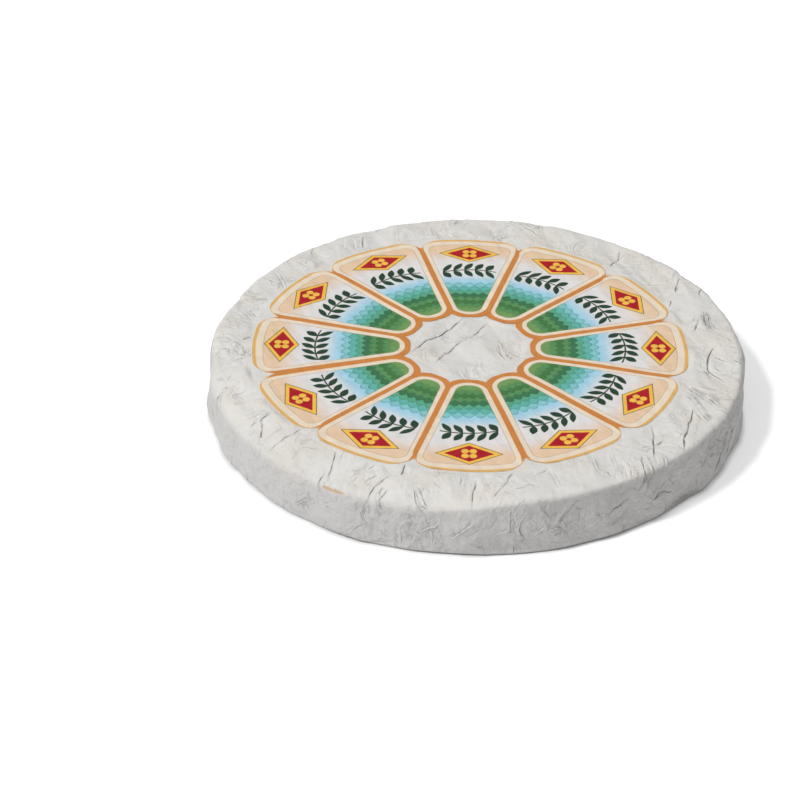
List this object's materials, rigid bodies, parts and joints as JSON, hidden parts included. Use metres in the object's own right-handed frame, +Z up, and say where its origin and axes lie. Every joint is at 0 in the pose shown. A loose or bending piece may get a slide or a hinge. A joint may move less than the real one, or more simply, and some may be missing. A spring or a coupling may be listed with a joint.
{
  "type": "brie wheel",
  "caption": "Whole soft cheese wheel in a creased white rind, with a ring of wedge-shaped paper labels on top.",
  "frame": {"origin": "middle of the flat base", "axes": "+Z up through the labelled top, and -Y towards the viewer; the first label points along +Y"},
  "size_m": [0.3272, 0.3253, 0.0392],
  "materials": {
    "rind": "matte, velvety white bloom with fine wrinkles",
    "label": "printed paper, slight satin"
  },
  "bodies": {
    "root": {"brie_wheel": "rind", "label_01": "label", "label_02": "label", "label_03": "label", "label_04": "label", "label_05": "label", "label_06": "label", "label_07": "label", "label_08": "label", "label_09": "label", "label_10": "label", "label_11": "label", "label_12": "label"}
  },
  "joints": []
}
